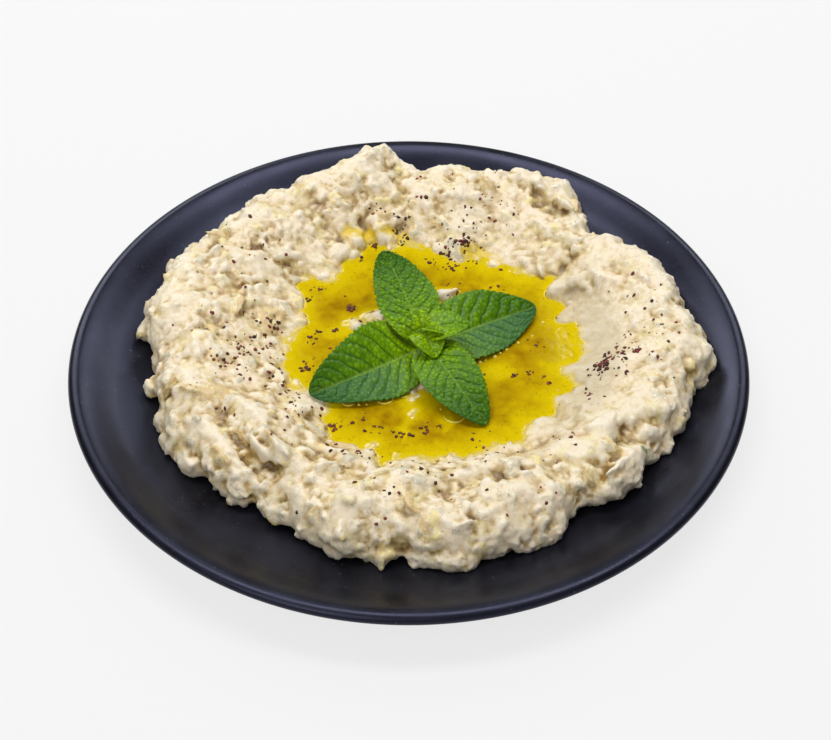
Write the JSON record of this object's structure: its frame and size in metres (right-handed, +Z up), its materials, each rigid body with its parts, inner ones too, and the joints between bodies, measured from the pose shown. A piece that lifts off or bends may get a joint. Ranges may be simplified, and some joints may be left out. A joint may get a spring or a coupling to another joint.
{
  "type": "baba ganoush on a plate",
  "caption": "Chunky aubergine dip spread in a ring on a round dark coupe plate, with a pool of olive oil, sumac flakes and a sprig of mint.",
  "frame": {"origin": "middle of the plate's foot ring, on the table", "axes": "+Z up, +Y towards the far side of the plate, +X to the right"},
  "size_m": [0.27, 0.27, 0.0366],
  "materials": {
    "stoneware": "matte charcoal glaze",
    "aubergine_dip": "moist, chunky, cream coloured",
    "olive_oil": "clear golden oil",
    "mint_leaf": "quilted, slightly glossy leaf",
    "mint_stem": "smooth green stem"
  },
  "bodies": {
    "root": {"plate": "stoneware", "dip": "aubergine_dip", "olive_oil": "olive_oil", "mint_stem": "mint_stem", "mint_leaf_left": "mint_leaf", "mint_leaf_right": "mint_leaf", "mint_leaf_back": "mint_leaf", "mint_leaf_front": "mint_leaf", "mint_small_right": "mint_leaf", "mint_small_front": "mint_leaf", "mint_bud_right": "mint_leaf", "mint_bud_back": "mint_leaf"}
  },
  "joints": []
}
